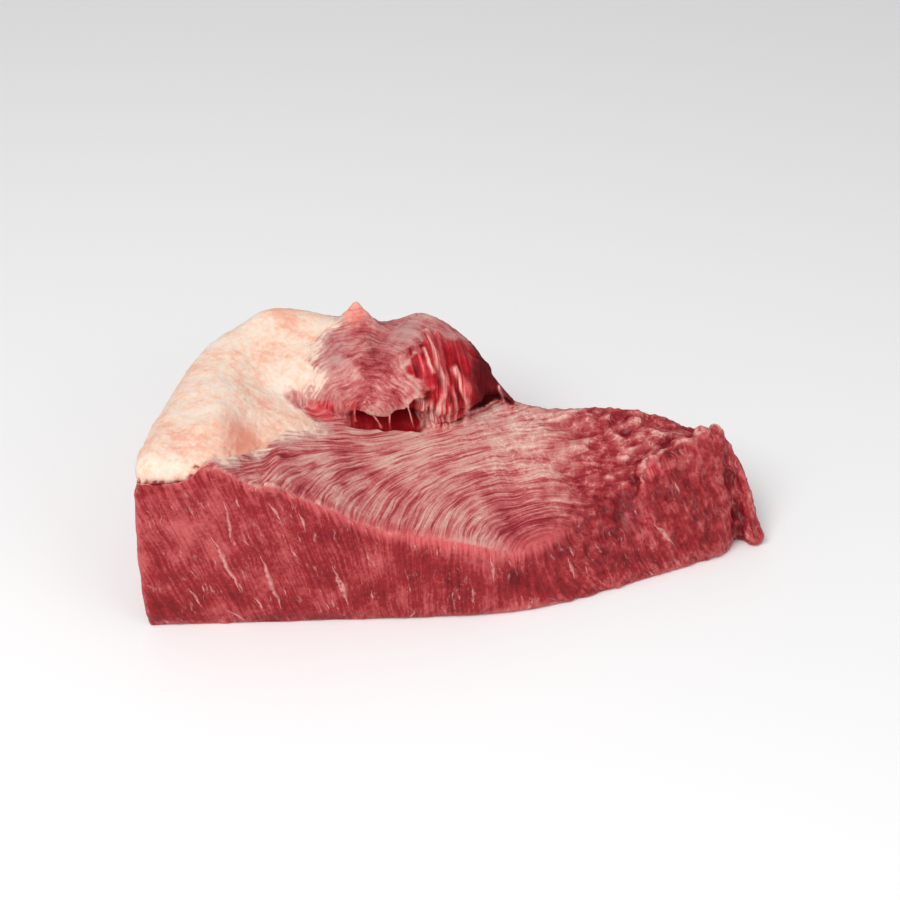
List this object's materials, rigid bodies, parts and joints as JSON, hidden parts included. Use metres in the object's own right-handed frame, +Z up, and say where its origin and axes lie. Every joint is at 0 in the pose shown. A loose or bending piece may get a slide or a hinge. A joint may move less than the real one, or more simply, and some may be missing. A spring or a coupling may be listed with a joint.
{
  "type": "beef brisket",
  "caption": "Raw beef brisket lying lean side up: a wedge of flat muscle with a straight front cut, the point muscle mounded behind it, and a fat cap over the thick end.",
  "frame": {"origin": "middle of the flat underside, on the surface the meat rests on", "axes": "+X along the length from the thick end to the thin end, +Y from the front cut to the back, +Z up"},
  "size_m": [0.2674, 0.1446, 0.094],
  "materials": {
    "lean": "moist raw muscle, crimson at the cuts and grey-pink under silverskin on top, with pale marbling",
    "fat": "firm raw fat, cream mottled with pale pink"
  },
  "bodies": {
    "root": {"lean": "lean", "fat_cap": "fat"}
  },
  "joints": []
}
